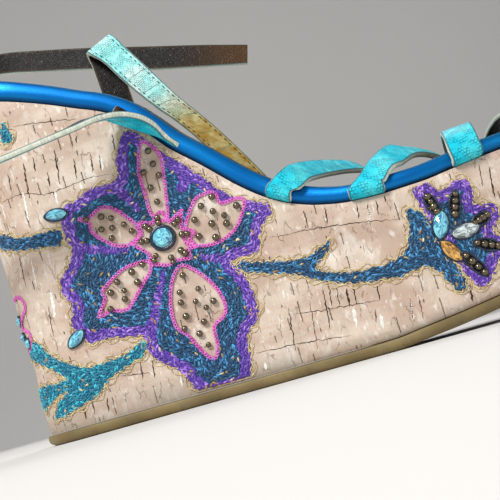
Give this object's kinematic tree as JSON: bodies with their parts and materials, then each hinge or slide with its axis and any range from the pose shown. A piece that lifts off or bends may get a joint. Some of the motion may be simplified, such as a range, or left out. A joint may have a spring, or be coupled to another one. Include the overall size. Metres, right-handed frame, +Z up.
{
  "type": "platform wedge sandal",
  "caption": "Right platform wedge sandal: tall cork-covered wedge, padded leather footbed, narrow toe straps, folded inner stirrup and a slack ankle strap.",
  "frame": {"origin": "middle of the flat ground face of the outsole, on the floor", "axes": "+X to the toe, +Y to the inner side of the foot, +Z up"},
  "size_m": [0.2692, 0.1047, 0.1737],
  "materials": {
    "outsole_rubber": "matte, worn",
    "cork": "matte cork sheet with dark flecks",
    "blue_leather": "metallic, soft gloss",
    "sock_leather": "matte",
    "strap_leather": "reptile grain, satin",
    "stone_glass": "cut glass over foil, glossy"
  },
  "bodies": {
    "root": {"outsole": "outsole_rubber", "wedge": "cork", "footbed": "blue_leather", "insole_sock": "sock_leather", "strap_instep": "strap_leather", "strap_ball": "strap_leather", "strap_toe_rear": "strap_leather", "strap_toe_front": "strap_leather", "stirrup": "strap_leather", "ankle_strap": "strap_leather", "stone_flower": "stone_glass", "stone_leaf_upper": "stone_glass", "stone_leaf_lower": "stone_glass", "stone_bud_upper": "stone_glass", "stone_bud_lower": "stone_glass", "stone_heel_upper": "stone_glass", "stone_heel_middle": "stone_glass", "stone_heel_lower": "stone_glass"}
  },
  "joints": []
}
